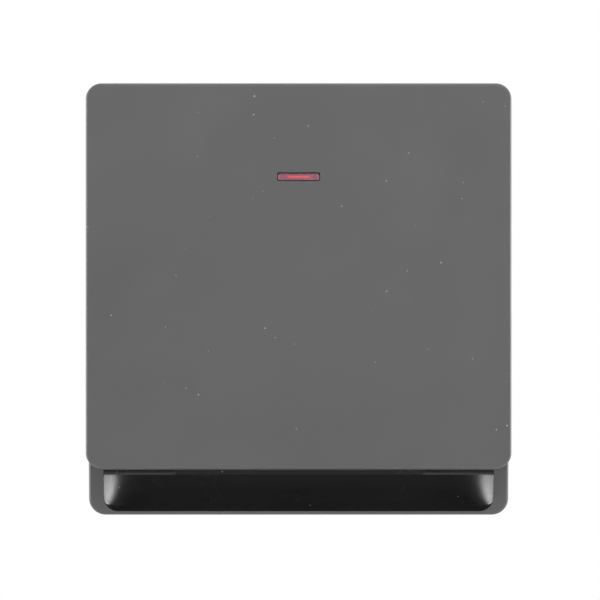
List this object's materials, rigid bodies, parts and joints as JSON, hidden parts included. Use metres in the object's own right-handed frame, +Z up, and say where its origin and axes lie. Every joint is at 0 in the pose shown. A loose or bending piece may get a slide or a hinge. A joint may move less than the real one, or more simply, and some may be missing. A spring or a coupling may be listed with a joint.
{
  "type": "double-pole switch",
  "caption": "Single-gang wall plate with one wide rocker that tilts about a level axis, a small red indicator lens and a dark finger recess below; it switches both poles at once.",
  "frame": {"origin": "midway between the two box screws, on the wall plane that the frame's back edge rests on", "axes": "+X to the right seen from the front, +Y into the wall, +Z up; the front faces -Y"},
  "size_m": [0.086, 0.035, 0.0881],
  "materials": {
    "satin_grey_plastic": "satin",
    "gloss_black_plastic": "gloss",
    "red_lens_plastic": "translucent",
    "grey_plate_plastic": "fine grained",
    "black_nylon": "matte",
    "grey_nylon": "matte",
    "white_nylon": "matte",
    "brass": "machined",
    "copper_alloy": "rolled strip",
    "silver_alloy": "satin",
    "plated_steel": "nickel plated",
    "spring_steel": "drawn wire",
    "tinned_wire": "tinned",
    "clear_glass": "clear",
    "clear_acrylic": "clear",
    "resistor_lacquer": "lacquered"
  },
  "bodies": {
    "base": {"surround_frame": "satin_grey_plastic", "scoop_liner": "gloss_black_plastic", "mounting_plate": "grey_plate_plastic", "mechanism_cover": "grey_nylon", "switch_housing": "black_nylon", "housing_screws": "plated_steel", "terminal_screws": "plated_steel", "load_live_terminal": "brass", "load_neutral_terminal": "brass", "supply_live_terminal": "brass", "supply_neutral_terminal": "brass", "earth_terminal": "brass", "live_pivot_bracket": "copper_alloy", "neutral_pivot_bracket": "copper_alloy", "live_fixed_contact": "copper_alloy", "neutral_fixed_contact": "copper_alloy", "live_fixed_tip": "silver_alloy", "neutral_fixed_tip": "silver_alloy", "neon_lamp": "clear_glass", "neon_resistor": "resistor_lacquer", "neon_leads": "tinned_wire", "light_pipe": "clear_acrylic"},
    "rocker": {"rocker_panel": "satin_grey_plastic", "indicator_lens": "red_lens_plastic", "rocker_cradle": "white_nylon", "live_spring": "spring_steel", "neutral_spring": "spring_steel"},
    "live_plunger": {"live_plunger": "white_nylon"},
    "neutral_plunger": {"neutral_plunger": "white_nylon"},
    "live_blade": {"live_blade": "copper_alloy", "live_blade_tip": "silver_alloy"},
    "neutral_blade": {"neutral_blade": "copper_alloy", "neutral_blade_tip": "silver_alloy"}
  },
  "joints": [
    {"name": "rocker_tilt", "type": "hinge", "parent": "base", "child": "rocker", "pos_m": [0, -0.0035, 0], "axis": [1, 0, 0], "range_deg": [0, 6]},
    {"name": "live_plunger_slide", "type": "slide", "parent": "rocker", "child": "live_plunger", "axis": [0, -0.9986, 0.0523], "range_m": [0, 0.001], "stiffness_N_per_m": 400, "springref_m": -0.004, "deforming": ["live_spring"]},
    {"name": "live_blade_tilt", "type": "hinge", "parent": "base", "child": "live_blade", "pos_m": [-0.012, 0.0136, 0], "axis": [1, 0, 0], "range_deg": [-13.2, 0]},
    {"name": "neutral_plunger_slide", "type": "slide", "parent": "rocker", "child": "neutral_plunger", "axis": [0, -0.9986, 0.0523], "range_m": [0, 0.001], "stiffness_N_per_m": 400, "springref_m": -0.004, "deforming": ["neutral_spring"]},
    {"name": "neutral_blade_tilt", "type": "hinge", "parent": "base", "child": "neutral_blade", "pos_m": [0.012, 0.0136, 0], "axis": [1, 0, 0], "range_deg": [-13.2, 0]}
  ],
  "couplings": [
    {"joint": "live_blade_tilt", "follows": "rocker_tilt", "ratio": -2.2},
    {"joint": "neutral_blade_tilt", "follows": "rocker_tilt", "ratio": -2.2}
  ]
}
